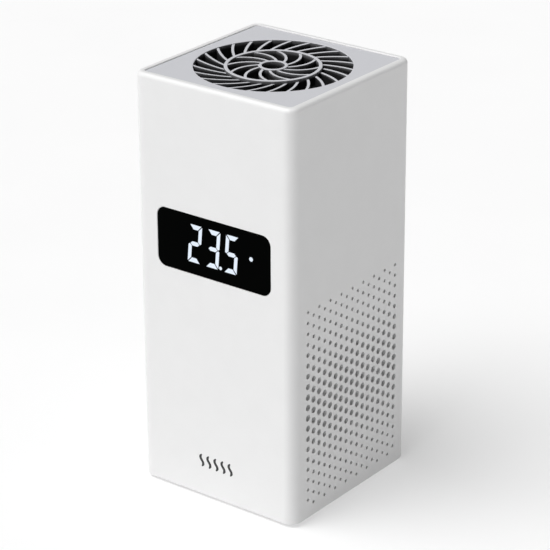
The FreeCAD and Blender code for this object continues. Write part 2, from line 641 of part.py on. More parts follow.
def fan_bearings():
    bearings = [ring(f"bearing_{i}", "bearing_radius", "bearing_bore", "2.3", ("0", "0", low))
                for i, low in enumerate(("fan_z + 3.8", "fan_z + 9"))]
    return keep(group("bearings", bearings), "fan_bearings")


def stator_core():
    low, high = "fan_z + 5.4", "4.6"
    hub = ring("stator_hub", "tube_radius + 1.4", "tube_radius", high, ("0", "0", low))
    shoes = ring("stator_shoes", "stator_radius", "stator_radius - 1.1", high, ("0", "0", low))
    gaps = [block(f"pole_gap_{i}", ("30", "2.2", "8"), ("0", "0"), "fan_z + 4") for i in (0, 1)]
    for gap, angle in zip(gaps, (45, -45)):
        turned = Rotation(Vector(0, 0, 1), angle)
        corner = turned.multVec(Vector(-15, -1.1, 0))
        put(gap, str(corner.x), str(corner.y), "fan_z + 4", turned)
    arms = [block("arm_x", ("2 * stator_radius - 1", "2.2", high), ("0", "0"), low),
            block("arm_y", ("2.2", "2 * stator_radius - 1", high), ("0", "0"), low)]
    bore = rod("stator_bore", "tube_radius", "10", ("0", "0", "fan_z + 3"))
    poles = cut("stator_arms", fuse("stator_cross", *arms), bore)
    return keep(fuse("stator", hub, cut("split_shoes", shoes, *gaps), poles), "stator_core")


def stator_coils():
    """A wound coil on each pole arm."""
    coils = []
    for i, (x, y) in enumerate(((6.65, 0), (-6.65, 0), (0, 6.65), (0, -6.65))):
        size = ("2.6", "5", "6.4") if y == 0 else ("5", "2.6", "6.4")
        hole = ("4", "2.3", "4.7") if y == 0 else ("2.3", "4", "4.7")
        coils.append(cut(f"coil_{i}", block(f"coil_body_{i}", size, (str(x), str(y)), "fan_z + 4.5"),
                         block(f"coil_hole_{i}", hole, (str(x), str(y)), "fan_z + 5.35")))
    return keep(group("coils", coils), "stator_coils")


def fan_board():
    place = ("0", "0", f"{FAN_TOP} - 3")
    return keep(ring("fan_board_ring", "hub_cup - 1.2", "tube_radius + 0.1", "0.9", place), "fan_board")


def fan_impeller():
    """The hub cup, open upwards, and its swept blades."""
    body = new_body("impeller")
    disc = sketch_on(body, "cup_disc", shift=("0", "0", "fan_z + 1"))
    pad(body, add_circle(add_circle(disc, "hub_cup"), "shaft_radius"), "1.4")
    wall = sketch_on(body, "cup_wall", shift=("0", "0", "fan_z + 1"))
    pad(body, add_circle(add_circle(wall, "hub_cup"), "hub_cup - 0.9"), "10")
    collar = sketch_on(body, "cup_collar", shift=("0", "0", "fan_z + 1"))
    pad(body, add_circle(add_circle(collar, "2"), "shaft_radius"), "2.4")
    cup_low, cup_radius = val("fan_z + 1"), val("hub_cup")
    round_edges(body, "cup_edge", "1", lambda edge: abs(edge.BoundBox.ZMax - cup_low) < 1e-3
                and isinstance(edge.Curve, Part.Circle) and abs(edge.Curve.Radius - cup_radius) < 1e-3)
    root = blade_section(body, "blade_root", "hub_cup - 0.6", 3.6, 4.2, 0.55)
    tip = blade_section(body, "blade_tip_section", "blade_tip + 0.6", 7.2, 3.6, 0.45)
    blade = body.newObject("PartDesign::AdditiveLoft", "blade")
    blade.Profile = root
    blade.Sections = [tip]
    blade.Ruled = True
    doc.recompute()
    around(body, blade, "blades")
    trimmed = doc.addObject("Part::Common", "impeller_trimmed")
    trimmed.Base = body
    trimmed.Tool = rod("impeller_reach", "blade_tip", "fan_height", ("0", "0", "fan_z"))
    return keep(trimmed, "fan_impeller")


def blade_section(body, name, radius, half_turn, half_rise, half_thick):
    """A bowed, tilted strip that stands across the radius, for the blade's loft."""
    sketch = sketch_on(body, name, "YZ_Plane", ("0", "fan_z + 6.4", radius))
    along = Vector(half_turn, half_rise).normalize()
    across = Vector(-along.y, along.x)
    ends = [Vector(-half_turn, -half_rise), Vector(half_turn, half_rise)]
    bow = across * 0.9
    faces = [[point + across * side for point in (ends[0], bow, ends[1])]
             for side in (-half_thick, half_thick)]
    sketch.addGeometry(Part.Arc(*faces[0]), False)
    sketch.addGeometry(Part.LineSegment(faces[0][2], faces[1][2]), False)
    sketch.addGeometry(Part.Arc(*faces[1]), False)
    sketch.addGeometry(Part.LineSegment(faces[1][0], faces[0][0]), False)
    return sketch


def rotor_parts():
    yoke = ring("yoke_ring", "hub_cup - 0.9", "hub_cup - 1.5", "8.2", ("0", "0", "fan_z + 2.4"))
    magnet = ring("magnet_ring", "hub_cup - 1.5", "stator_radius + 0.4", "6.6", ("0", "0", "fan_z + 4"))
    shaft = rod("shaft_rod", "shaft_radius", "11", ("0", "0", "fan_z + 1"))
    clip = ring("clip_ring", "1.9", "shaft_radius", "0.4", ("0", "0", "fan_z + 11.5"))
    keep(yoke, "rotor_yoke")
    keep(magnet, "rotor_magnet")
    keep(shaft, "fan_shaft")
    keep(clip, "shaft_clip")


def fan_screws():
    places = [(x, y, "fan_z - flange_thick") for x, y in four("fan_hole_reach", "fan_hole_reach")]
    return screws("fan_screws", places, "2.6", "1.8", "1.4", "flange_thick + fan_height + 6")


# ---------------------------------------------------------------- heater

CORE_X, CORE_Y = 44, 34.6
FIN_ROWS, BAR_THICK, FIN_PERIODS = 3, 2.4, 18


def heater_frame():
    """The heat-proof frame round the core, with a post in each corner for the fan's long screws."""
    outer_size = ("fan_side - 0.2", "fan_side - 0.2", "heater_height")
    window_size = (f"{CORE_X} + 0.2", f"{CORE_Y} + 0.2", "heater_height + 2")
    outer = block("heater_slab", outer_size, ("0", "0"), "heater_z")
    window = block("heater_window", window_size, ("0", "0"), "heater_z - 1")
    pilots = [rod(f"heater_pilot_{i}", "1.4", "7", (x, y, "heater_z - 1"))
              for i, (x, y) in enumerate(four("fan_hole_reach", "fan_hole_reach"))]
    lead_ways = [rod(f"lead_way_{i}", "1.1", "12", (x, f"{CORE_Y / 2} - 1", LEAD_Z), ALONG_Y)
                 for i, x in enumerate((str(LEAD_X), str(-LEAD_X)))]
    return keep(cut("heater_frame_cut", outer, window, *pilots, *lead_ways), "heater_frame")


def row_middle(row):
    """The middle, along Y, of a fin row."""
    depth = (CORE_Y - (FIN_ROWS - 1) * BAR_THICK) / FIN_ROWS
    return (row - (FIN_ROWS - 1) / 2) * (depth + BAR_THICK), depth


def heater_fins():
    """Three rows of folded aluminium strip: two flat sheets and a zigzag, open from below to above."""
    rows = []
    sheet_thick, ribbon, length = 0.4, 0.3, CORE_X - 0.6
    step = (length - ribbon) / (2 * FIN_PERIODS)
    for row in range(FIN_ROWS):
        middle, depth = row_middle(row)
        body = new_body(f"fin_row_{row}")
        outline = sketch_on(body, f"fin_row_outline_{row}", shift=("0", str(middle), "heater_z + 1"))
        add_rectangle(outline, str(length), str(depth))
        reach = depth / 2 - sheet_thick
        for k in range(2 * FIN_PERIODS - 1):
            side = -1 if k % 2 == 0 else 1
            left, right = -length / 2 + k * step + ribbon, -length / 2 + (k + 2) * step
            tip = side * reach * (1 - 2 * (2 * step - ribbon) / (2 * step))
            add_outline(outline, [Vector(left, side * reach), Vector(right, side * reach),
                                  Vector((left + right) / 2, tip)])
        pad(body, outline, "heater_height - 2")
        rows.append(body)
    return keep(group("fin_rows", rows), "heater_fins")


def ptc_bars():
    """The two ceramic heating bars between the fin rows."""
    bars = []
    for i in range(FIN_ROWS - 1):
        middle = (row_middle(i)[0] + row_middle(i + 1)[0]) / 2
        size = (f"{CORE_X} - 1", str(BAR_THICK), "heater_height - 2.4")
        bars.append(block(f"ptc_{i}", size, ("0", str(middle)), "heater_z + 1.2"))
    return keep(group("ptc", bars), "ptc_bars")


def thermal_fuse():
    start = ("-4.5", f"-{CORE_Y / 2} - 3.2", "heater_z + heater_height + 1.5")
    return keep(rod("fuse_barrel", "1.5", "9", start, ALONG_X), "thermal_fuse")


# ---------------------------------------------------------------- main board and rear controls

def main_board():
    size = ("board_width", "board_thick", "board_high - board_low")
    board = block("main_board_plate", size, ("0", "board_y + board_thick / 2"), "board_low")
    holes = [rod(f"main_board_hole_{i}", "1.2", "board_thick + 2", (x, "board_y - 1", z), ALONG_Y)
             for i, (x, z) in enumerate(BOARD_HOLES)]
    return keep(cut("main_board_cut", board, *holes), "main_board")


def board_screws():
    places = [(x, "board_y", z) for x, z in BOARD_HOLES]
    return screws("board_screws", places, "2", "1.4", "0.9", "board_thick + 6", ALONG_Y, (0, 1, 0))


def on_board(name, size, x, z):
    """A block that stands on the front of the main board: size is width, depth from the board, and height."""
    return block(name, size, (x, f"board_y - ({size[1]}) / 2"), z)


def board_parts():
    cans = [rod(f"can_{i}", "4", "11", ("-13", "board_y", z), AGAINST_Y) for i, z in enumerate(("32", "42"))]
    keep(group("cans", cans), "filter_capacitors")
    coil = doc.addObject("Part::Torus", "choke")
    bind(coil, "Radius1", "4.6")
    bind(coil, "Radius2", "2.1")
    keep(put(coil, "1", "board_y - 2.1", "34", AGAINST_Y), "power_choke")
    keep(on_board("switch_chip", ("10", "4.4", "15"), "15", "38"), "power_transistor")
    comb = block("sink_block", ("16", "9", "18"), ("15", "board_y - 8.9"), "36")
    slots = [block(f"sink_slot_{i}", ("1.9", "7", "20"), (f"15 + 3.1 * {i}", "board_y - 10.9"), "35")
             for i in range(-2, 3)]
    keep(cut("sink", comb, *slots), "transistor_heatsink")
    keep(on_board("mcu", ("7", "1.2", "7"), "-2", "50"), "control_chip")
    sockets = [on_board(f"socket_{i}", (wide, "5.8", "6"), x, "62")
               for i, (x, wide) in enumerate((("-14.5", "7.5"), ("0", "16"), ("14.5", "7.5")))]
    keep(group("sockets", sockets), "wire_sockets")


def temperature_sensor():
    """A bead on two stiff leads, held in the stream of air that comes in."""
    bead = doc.addObject("Part::Sphere", "bead")
    bind(bead, "Radius", "1.3")
    put(bead, "21.5", "board_y - 11", "56")
    leads = [rod(f"bead_lead_{i}", "0.25", "10.4", (f"21.5 + {dx}", "board_y", "56"), AGAINST_Y)
             for i, dx in enumerate((-0.6, 0.6))]
    return keep(fuse("sensor", bead, *leads), "temperature_sensor")


def power_inlet():
    """A round low-voltage socket: a square housing on the board and a nose through the sleeve's back."""
    body = new_body("inlet")
    place = ("inlet_x", "control_z", f"-{BOARD_BACK}")
    housing = sketch_on(body, "inlet_housing", "XZ_Plane", place)
    pad(body, add_rectangle(housing, "10", "10"), f"{INNER} - 0.2 - {BOARD_BACK}", reverse=True)
    nose = sketch_on(body, "inlet_nose_round", "XZ_Plane", place)
    pad(body, add_circle(nose, "inlet_nose"), f"{FRONT} - 0.3 - {BOARD_BACK}", reverse=True)
    socket = sketch_on(body, "inlet_socket", "XZ_Plane", ("inlet_x", "control_z", f"-({FRONT} - 0.3)"))
    pocket(body, add_circle(socket, "inlet_bore"), "inlet_depth", reverse=True)
    hole = sketch_on(body, "pin_hole", "XZ_Plane", ("inlet_x", "control_z", f"-({FRONT} - 0.3)"))
    pocket(body, add_circle(hole, "inlet_pin - 0.35"), "inlet_depth + 0.8", reverse=True)
    return keep(body, "power_inlet")


def inlet_contact():
    """The socket's centre pin, with a thin root in the housing and a rounded tip."""
    start = f"{FRONT} - 0.3 - inlet_depth"
    root = rod("pin_root", "inlet_pin - 0.35", "1", ("inlet_x", f"{start} - 0.8", "control_z"), ALONG_Y)
    stem = rod("pin_stem", "inlet_pin", "inlet_depth - 1.6", ("inlet_x", start, "control_z"), ALONG_Y)
    tip = doc.addObject("Part::Sphere", "pin_tip")
    bind(tip, "Radius", "inlet_pin")
    put(tip, "inlet_x", f"{start} + inlet_depth - 1.6", "control_z")
    return keep(fuse("pin", root, stem, tip), "inlet_contact")


def power_switch():
    """The switch body behind the button, with a well for the button's stem."""
    size = ("8.6", "4.6", "8.6")
    body = block("switch_block", size, ("button_x", f"{BOARD_BACK} + 2.3"), "control_z - 4.3")
    well = rod("switch_well", "1.8", "4", ("button_x", f"{BOARD_BACK} + 1", "control_z"), ALONG_Y)
    return keep(cut("switch", body, well), "power_switch")


def power_button():
    """The cap, its retaining flange behind the wall, and the stem that goes into the switch."""
    body = new_body("button")
    cap = sketch_on(body, "button_cap", "XZ_Plane", ("button_x", "control_z", f"-({INNER} - 1.3)"))
    pad(body, add_circle(cap, "button_radius"), "wall + 1.3 + button_proud", reverse=True)
    flange = sketch_on(body, "button_flange", "XZ_Plane", ("button_x", "control_z", f"-({INNER} - 1.3)"))
    pad(body, add_circle(flange, "button_radius + 0.9"), "1", reverse=True)
    stem = sketch_on(body, "button_stem", "XZ_Plane", ("button_x", "control_z", f"-({INNER} - 1.3)"))
    pad(body, add_circle(stem, "1.65"), f"{INNER} - 1.3 - ({BOARD_BACK} + 1 + button_travel + 0.2)")
    round_edges(body, "button_edge", "0.5", upright_edge(val(f"{FRONT} + button_proud")))
    return keep(body, "power_button")


# ---------------------------------------------------------------- wires

def swept(name, points, outline, area, bend):
    """A section carried along straight runs joined by tangent arcs of one bend radius."""
    edges, start = [], points[0]
    for before, corner, after in zip(points, points[1:], points[2:]):
        back, ahead = (before - corner).normalize(), (after - corner).normalize()
        half_turn = (math.pi - back.getAngle(ahead)) / 2
        into, out = corner + back * bend * math.tan(half_turn), corner + ahead * bend * math.tan(half_turn)
        inside = (back + ahead).normalize() * (bend / math.cos(half_turn) - bend)
        edges.append(Part.LineSegment(start, into).toShape())
        edges.append(Part.Arc(into, corner + inside, out).toShape())
        start = out
    edges.append(Part.LineSegment(start, points[-1]).toShape())
    path = Part.Wire(edges)
    solid = path.makePipeShell([outline], True, False)
    assert abs(solid.Volume / (area * path.Length) - 1) < 0.02, f"{name} has the wrong volume"
    return solid


def round_lead(name, points, radius):
    outline = Part.Wire(Part.makeCircle(radius, points[0], points[1] - points[0]))
    return swept(name, points, outline, math.pi * radius ** 2, 1.5)


def keep_swept(node, solids):
    feature = doc.addObject("Part::Feature", node + "_shape")
    feature.Shape = Part.makeCompound(solids)
    return keep(feature, node)


def leads():
    """Insulated wires held inside the casing, from the sockets on the board to heater, fan and display."""
    socket_y, socket_top, cross_z = val("board_y") - 3, 68, 76
    gap_y, z_in = (val("duct_half") + val(INNER)) / 2, val(LEAD_Z)
    heater = []
    for x in (LEAD_X, -LEAD_X):
        route = [Vector(x, socket_y, socket_top), Vector(x, socket_y, cross_z), Vector(x, gap_y, cross_z),
                 Vector(x, gap_y, z_in), Vector(x, CORE_Y / 2, z_in)]
        heater.append(round_lead("heater_lead", route, 0.75))
    keep_swept("heater_leads", heater)
    over_fan = val(FAN_TOP) + 0.45
    over_leads, turn_y = cross_z + 1.3, 22
    route = [Vector(FAN_LEAD_X, 8, over_fan), Vector(FAN_LEAD_X, gap_y, over_fan),
             Vector(FAN_LEAD_X, gap_y, over_leads), Vector(FAN_LEAD_X, turn_y, over_leads),
             Vector(14.5, turn_y, over_leads), Vector(14.5, socket_y, over_leads),
             Vector(14.5, socket_y, socket_top)]
    keep_swept("fan_lead", [round_lead("fan_lead", route, 0.45)])
    board_back, half_wide, half_thick = -val(GUIDE_BACK) + val("board_thin"), 3.5, 0.2
    y = board_back + half_thick
    top = Vector(RIBBON_X, y, 88)
    outline = Part.makePolygon([top + Vector(sx * half_wide, sy * half_thick, 0)
                                for sx, sy in ((-1, -1), (1, -1), (1, 1), (-1, 1), (-1, -1))])
    route = [top, Vector(RIBBON_X, y, cross_z), Vector(RIBBON_X, socket_y, cross_z),
             Vector(RIBBON_X, socket_y, socket_top)]
    keep_swept("display_cable", [swept("display_cable", route, outline, 4 * half_wide * half_thick, 2)])


def base_screws():
    places = [(x, y, BASE_LOW) for x, y in BASE_SCREWS]
    return screws("base_screws", places, "2.2", "0.9", "pilot_radius", "base_thick + 7")


BUILDERS = [
    top_grille, base_cover, rubber_feet, display_lens, light_guide, display_board, display_lamps,
    display_screws, air_duct, grille_screws, fan_plate, fan_frame, fan_bearings, stator_core, stator_coils,
    fan_board, fan_impeller, rotor_parts, fan_screws, heater_frame, heater_fins, ptc_bars, thermal_fuse,
    main_board, board_screws, board_parts, temperature_sensor, power_inlet, inlet_contact, power_switch,
    power_button, leads, base_screws, body_sleeve,
]


def main():
    for build in BUILDERS:
        build()
    doc.recompute()
    broken = [o.Name for o in doc.Objects if "Invalid" in o.State or "Error" in o.State]
    if broken:
        raise SystemExit(f"failed objects: {broken}")
    for node, obj in pieces.items():
        if obj.Shape.isNull() or not obj.Shape.isValid() or not obj.Shape.Solids:
            raise SystemExit(f"{node} is not a valid solid")
    os.makedirs("parts", exist_ok=True)
    for node, obj in pieces.items():
        obj.Shape.exportStep(f"parts/{node}.step")


if __name__ == "__main__":
    main()
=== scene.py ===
import math

import bmesh
import bpy
from mathutils import Matrix, Vector


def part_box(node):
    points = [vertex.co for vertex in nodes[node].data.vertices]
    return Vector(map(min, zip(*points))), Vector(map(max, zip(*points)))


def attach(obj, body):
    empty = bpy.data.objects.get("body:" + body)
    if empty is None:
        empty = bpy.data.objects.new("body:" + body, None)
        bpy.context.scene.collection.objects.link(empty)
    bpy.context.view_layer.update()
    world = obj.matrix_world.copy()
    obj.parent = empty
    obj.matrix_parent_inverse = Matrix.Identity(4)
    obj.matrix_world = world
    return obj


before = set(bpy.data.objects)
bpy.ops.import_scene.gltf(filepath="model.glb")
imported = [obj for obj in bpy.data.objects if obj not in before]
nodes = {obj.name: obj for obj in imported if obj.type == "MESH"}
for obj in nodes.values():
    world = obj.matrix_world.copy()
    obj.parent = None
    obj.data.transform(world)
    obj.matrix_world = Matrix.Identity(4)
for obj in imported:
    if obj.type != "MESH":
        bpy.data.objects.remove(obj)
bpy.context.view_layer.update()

MM = 0.001
scene = bpy.context.scene


# ---------------------------------------------------------------- materials

class Shader:
    """A Principled material and short ways to add procedural detail to it, in the object's own metres."""

    def __init__(self, name, **sockets):
        self.mat = bpy.data.materials.new(name)
        self.mat.use_nodes = True
        self.tree = self.mat.node_tree
        self.bsdf = self.tree.nodes["Principled BSDF"]
        self.place = self.add("ShaderNodeTexCoord").outputs["Object"]
        self.height = None
        for socket, value in sockets.items():
            self.bsdf.inputs[socket.replace("_", " ")].default_value = value

    def add(self, kind, **settings):
        node = self.tree.nodes.new(kind)
        for key, value in settings.items():
            setattr(node, key, value)
        return node

    def link(self, start, end):
        self.tree.links.new(start, end)

    def noise(self, grain_mm, detail=2.0, roughness=0.5, stretch=None):
        """Noise with features of about grain_mm millimetres, drawn out along an axis by `stretch`."""
        node = self.add("ShaderNodeTexNoise")
        node.inputs["Scale"].default_value = 1 / (grain_mm * MM)
        node.inputs["Detail"].default_value = detail
        node.inputs["Roughness"].default_value = roughness
        place = self.place
        if stretch:
            mapping = self.add("ShaderNodeMapping")
            mapping.inputs["Scale"].default_value = stretch
            self.link(place, mapping.inputs["Vector"])
            place = mapping.outputs["Vector"]
        self.link(place, node.inputs["Vector"])
        return node.outputs["Fac"]

    def spread(self, value, low, high):
        """Maps a 0..1 value to low..high."""
        node = self.add("ShaderNodeMapRange")
        node.inputs["From Min"].default_value = 0.3
        node.inputs["From Max"].default_value = 0.7
        node.inputs["To Min"].default_value = low
        node.inputs["To Max"].default_value = high
        self.link(value, node.inputs["Value"])
        return node.outputs["Result"]

    def tint(self, value, low, high):
        """Colours the surface between two colours by a 0..1 value."""
        ramp = self.add("ShaderNodeValToRGB")
        ramp.color_ramp.elements[0].position, ramp.color_ramp.elements[1].position = 0.3, 0.7
        ramp.color_ramp.elements[0].color = (*low, 1)
        ramp.color_ramp.elements[1].color = (*high, 1)
        self.link(value, ramp.inputs["Fac"])
        self.link(ramp.outputs["Color"], self.bsdf.inputs["Base Color"])
        return self

    def rough(self, value, low, high):
        self.link(self.spread(value, low, high), self.bsdf.inputs["Roughness"])
        return self

    def bump(self, value, depth_mm, strength=1.0):
        node = self.add("ShaderNodeBump")
        node.inputs["Strength"].default_value = strength
        node.inputs["Distance"].default_value = depth_mm * MM
        self.link(value, node.inputs["Height"])
        if self.height is not None:
            self.link(self.height, node.inputs["Normal"])
        self.height = node.outputs["Normal"]
        self.link(self.height, self.bsdf.inputs["Normal"])
        return self


def shade(colour, change):
    return tuple(min(1.0, c * change) for c in colour)


def moulded(name, colour, roughness, grain_mm=0.22, grain_depth=0.006, change=0.03, **sockets):
    """Moulded plastic: a fine spark-eroded grain, a faint flow pattern and uneven gloss."""
    made = Shader(name, **sockets)
    flow = made.noise(9, 3)
    grain = made.noise(grain_mm, 2)
    made.tint(flow, shade(colour, 1 - change), shade(colour, 1 + change))
    made.rough(made.noise(1.4, 3), roughness - 0.04, roughness + 0.04)
    return made.bump(grain, grain_depth).bump(flow, 0.01, 0.3).mat


def slotted_painted_shade(name, colour, painted_shade_colour, top, roughness=0.55, painted_shade_from=0.2, painted_shade_full_at=1.7, wall=0.26):
    """Moulded plastic with painted light and shade: pale where it faces up, with walls that soon turn dark
    in the slots as painted shade standing in for their shadow.
    """
    made = Shader(name)
    height = made.add("ShaderNodeSeparateXYZ")
    made.link(made.place, height.inputs["Vector"])
    # painted shade: the slot walls darken with depth below the top of the grille
    painted_shade_fall = made.add("ShaderNodeMapRange")
    painted_shade_fall.interpolation_type = "SMOOTHSTEP"
    painted_shade_fall.inputs["From Min"].default_value = top - painted_shade_full_at * MM
    painted_shade_fall.inputs["From Max"].default_value = top - painted_shade_from * MM
    painted_shade_fall.inputs["To Max"].default_value = wall
    made.link(height.outputs["Z"], painted_shade_fall.inputs["Value"])
    # painted light: faces that point up keep the full grey
    facing = made.add("ShaderNodeSeparateXYZ")
    made.link(made.add("ShaderNodeNewGeometry").outputs["Normal"], facing.inputs["Vector"])
    level = made.add("ShaderNodeMapRange")
    level.inputs["From Min"].default_value, level.inputs["From Max"].default_value = 0.3, 0.7
    made.link(facing.outputs["Z"], level.inputs["Value"])
    # painted light and shade mask: the larger of the depth fade and the upward-facing share
    pale = made.add("ShaderNodeMath", operation="MAXIMUM")
    made.link(painted_shade_fall.outputs["Result"], pale.inputs[0])
    made.link(level.outputs["Result"], pale.inputs[1])
    flow = made.noise(9, 3)
    lit = made.add("ShaderNodeMix", data_type="RGBA")
    lit.inputs["A"].default_value = (*shade(colour, 0.985), 1)
    lit.inputs["B"].default_value = (*shade(colour, 1.015), 1)
    made.link(flow, lit.inputs["Factor"])
    # the dark painted shade colour where the mask is low, the grey where it is high
    mixed = made.add("ShaderNodeMix", data_type="RGBA")
    mixed.inputs["A"].default_value = (*painted_shade_colour, 1)
    made.link(lit.outputs["Result"], mixed.inputs["B"])
    made.link(pale.outputs["Value"], mixed.inputs["Factor"])
    made.link(mixed.outputs["Result"], made.bsdf.inputs["Base Color"])
    made.rough(made.noise(1.4, 3), roughness - 0.04, roughness + 0.04)
    return made.bump(made.noise(0.2, 2), 0.008).bump(flow, 0.01, 0.3).mat


def metal(name, colour, roughness, stretch=(1, 1, 12), grain_mm=0.5, **sockets):
    """Metal with fine drawn or rolled streaks and slight stains."""
    made = Shader(name, Metallic=1.0, **sockets)
    streaks = made.noise(grain_mm, 3, 0.6, stretch)
    made.tint(made.noise(4, 4), shade(colour, 0.88), shade(colour, 1.08))
    made.rough(streaks, roughness - 0.08, roughness + 0.1)
    return made.bump(streaks, 0.004).mat


def circuit_board(name):
    """Green solder mask over copper tracks, with fibre cloth just showing in the gloss."""
    made = Shader(name, Coat_Weight=0.4, Coat_Roughness=0.15)
    tracks = made.add("ShaderNodeTexBrick")
    tracks.inputs["Scale"].default_value = 1 / (9 * MM)
    tracks.inputs["Mortar Size"].default_value = 0.03
    tracks.inputs["Color1"].default_value = (0.012, 0.085, 0.035, 1)
    tracks.inputs["Color2"].default_value = (0.014, 0.1, 0.04, 1)
    tracks.inputs["Mortar"].default_value = (0.03, 0.19, 0.07, 1)
    turned = made.add("ShaderNodeMapping")
    turned.inputs["Rotation"].default_value = (math.pi / 2, 0, 0)
    made.link(made.place, turned.inputs["Vector"])
    made.link(turned.outputs["Vector"], tracks.inputs["Vector"])
    made.link(tracks.outputs["Color"], made.bsdf.inputs["Base Color"])
    made.rough(made.noise(0.6, 2), 0.3, 0.45)
    return made.bump(tracks.outputs["Fac"], 0.02).mat


def glow(name, colour, strength):
    """Lit resin behind the lens: even, with a trace of cloudiness."""
    made = Shader(name, Roughness=0.4, Emission_Strength=strength)
    cloud = made.noise(1.5, 2)
    ramp = made.add("ShaderNodeValToRGB")
    ramp.color_ramp.elements[0].color = (*shade(colour, 0.94), 1)
    ramp.color_ramp.elements[1].color = (*colour, 1)
    made.link(cloud, ramp.inputs["Fac"])
    made.link(ramp.outputs["Color"], made.bsdf.inputs["Emission Color"])
    made.tint(cloud, shade(colour, 0.05), shade(colour, 0.06))
    return made.mat


def windings(name):
    """Enamelled copper wire laid in turns."""
    made = Shader(name, Metallic=0.9, Coat_Weight=0.6, Coat_Roughness=0.12)
    turns = made.add("ShaderNodeTexWave", bands_direction="Z")
    turns.inputs["Scale"].default_value = 1 / (2.2 * MM)
    turns.inputs["Distortion"].default_value = 0.6
    made.link(made.place, turns.inputs["Vector"])
    made.tint(turns.outputs["Fac"], (0.28, 0.07, 0.025), (0.72, 0.26, 0.1))
    made.rough(made.noise(0.5, 2), 0.25, 0.4)
    return made.bump(turns.outputs["Fac"], 0.08).mat


WHITE = (0.80, 0.80, 0.80)
GREY = (0.605, 0.61, 0.64)

shell = moulded("shell_white", WHITE, 0.42, 0.16, 0.003, 0.008, Coat_Weight=0.08, Coat_Roughness=0.3)
# grille material with painted shade on its slot walls
grille_grey_painted_shade = slotted_painted_shade("grille_grey_painted_shade", GREY, (0.012, 0.012, 0.013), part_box("top_grille")[1].z)
base_grey = moulded("base_grey", shade(GREY, 0.95), 0.6, 0.25, 0.012, 0.02)
button_grey = moulded("button_grey", shade(GREY, 0.9), 0.5, 0.2, 0.006)
rubber = moulded("foot_rubber", (0.02, 0.02, 0.021), 0.8, 0.35, 0.03, 0.15)
lens_black = moulded("lens_black", (0.0006, 0.0008, 0.0007), 0.1, 0.5, 0.0003, 0.05, IOR=1.05)
guide_white = moulded("guide_white", (0.72, 0.72, 0.7), 0.5)
dark_filled = moulded("heat_proof_dark", (0.032, 0.032, 0.035), 0.62, 0.3, 0.02, 0.2)
black_plastic = moulded("black_plastic", (0.012, 0.012, 0.013), 0.4, 0.2, 0.008, 0.2)
socket_black = moulded("inlet_black", (0.015, 0.015, 0.016), 0.45, 0.15, 0.008, 0.2)
socket_cream = moulded("wire_socket_cream", (0.62, 0.6, 0.52), 0.45)
clip_white = moulded("clip_nylon", (0.7, 0.7, 0.68), 0.5)
lamp_resin = moulded("lamp_resin", (0.75, 0.72, 0.45), 0.25, 0.3, 0.002)
ceramic = moulded("ceramic_film", (0.66, 0.62, 0.52), 0.5, 0.5, 0.03, 0.08)
ferrite = moulded("ferrite_dark", (0.03, 0.03, 0.032), 0.7, 0.3, 0.03, 0.25)
magnet = moulded("bonded_magnet", (0.035, 0.032, 0.03), 0.6, 0.25, 0.02, 0.2)
sensor_resin = moulded("sensor_resin", (0.28, 0.07, 0.02), 0.2, 0.6, 0.01, 0.2, Coat_Weight=0.8)
chip_black = moulded("chip_black", (0.018, 0.018, 0.02), 0.55, 0.12, 0.01, 0.15)
silicone_red = moulded("silicone_red", (0.42, 0.02, 0.018), 0.5, 0.3, 0.01, 0.1)
lead_white = moulded("lead_white", (0.62, 0.62, 0.6), 0.5, 0.3, 0.01, 0.06)
can_sleeve = moulded("capacitor_sleeve", (0.02, 0.025, 0.06), 0.3, 0.5, 0.004, 0.1)
screw_zinc = metal("screw_zinc", (0.5, 0.5, 0.5), 0.32)
sheet_steel = metal("plain_steel", (0.42, 0.42, 0.43), 0.36)
aluminium = metal("fin_aluminium", (0.74, 0.75, 0.76), 0.3, (1, 1, 8))
bronze = metal("sintered_bronze", (0.55, 0.36, 0.16), 0.5, (1, 1, 1), 0.15)
brass = metal("contact_metal", (0.72, 0.66, 0.52), 0.22)
fuse_metal = metal("fuse_can", (0.6, 0.59, 0.57), 0.28, (10, 1, 1))
board_green = circuit_board("board_green")
coil_copper = windings("coil_copper")
digit_glow = glow("digit_glow", (0.74, 0.82, 0.92), 1.0)
mark_ink = moulded("mark_ink", (0.02, 0.02, 0.021), 0.5, 0.1, 0.002, 0.05)

LOOKS = {
    "body_sleeve": shell, "top_grille": grille_grey_painted_shade, "base_cover": base_grey, "rubber_feet": rubber,
    "display_lens": lens_black, "display_light_guide": guide_white, "display_board": board_green,
    "display_lamps": lamp_resin, "display_screws": screw_zinc, "base_screws": screw_zinc,
    "grille_screws": screw_zinc, "fan_screws": screw_zinc, "board_screws": screw_zinc,
    "air_duct": dark_filled, "fan_plate": dark_filled, "heater_frame": dark_filled,
    "fan_frame": black_plastic, "fan_impeller": black_plastic, "fan_bearings": bronze,
    "stator_core": sheet_steel, "stator_coils": coil_copper, "fan_board": board_green,
    "rotor_yoke": sheet_steel, "rotor_magnet": magnet, "fan_shaft": sheet_steel, "shaft_clip": clip_white,
    "heater_fins": aluminium, "ptc_bars": ceramic, "thermal_fuse": fuse_metal, "main_board": board_green,
    "control_chip": chip_black, "wire_sockets": socket_cream, "filter_capacitors": can_sleeve,
    "power_choke": ferrite, "power_transistor": chip_black, "transistor_heatsink": aluminium,
    "temperature_sensor": sensor_resin, "power_inlet": socket_black, "inlet_contact": brass,
    "power_switch": black_plastic, "power_button": button_grey, "heater_leads": silicone_red,
    "fan_lead": lead_white, "display_cable": lead_white,
}
for node, obj in nodes.items():
    obj.data.materials.clear()
    obj.data.materials.append(LOOKS[node])


# ---------------------------------------------------------------- building small printed and lit pieces

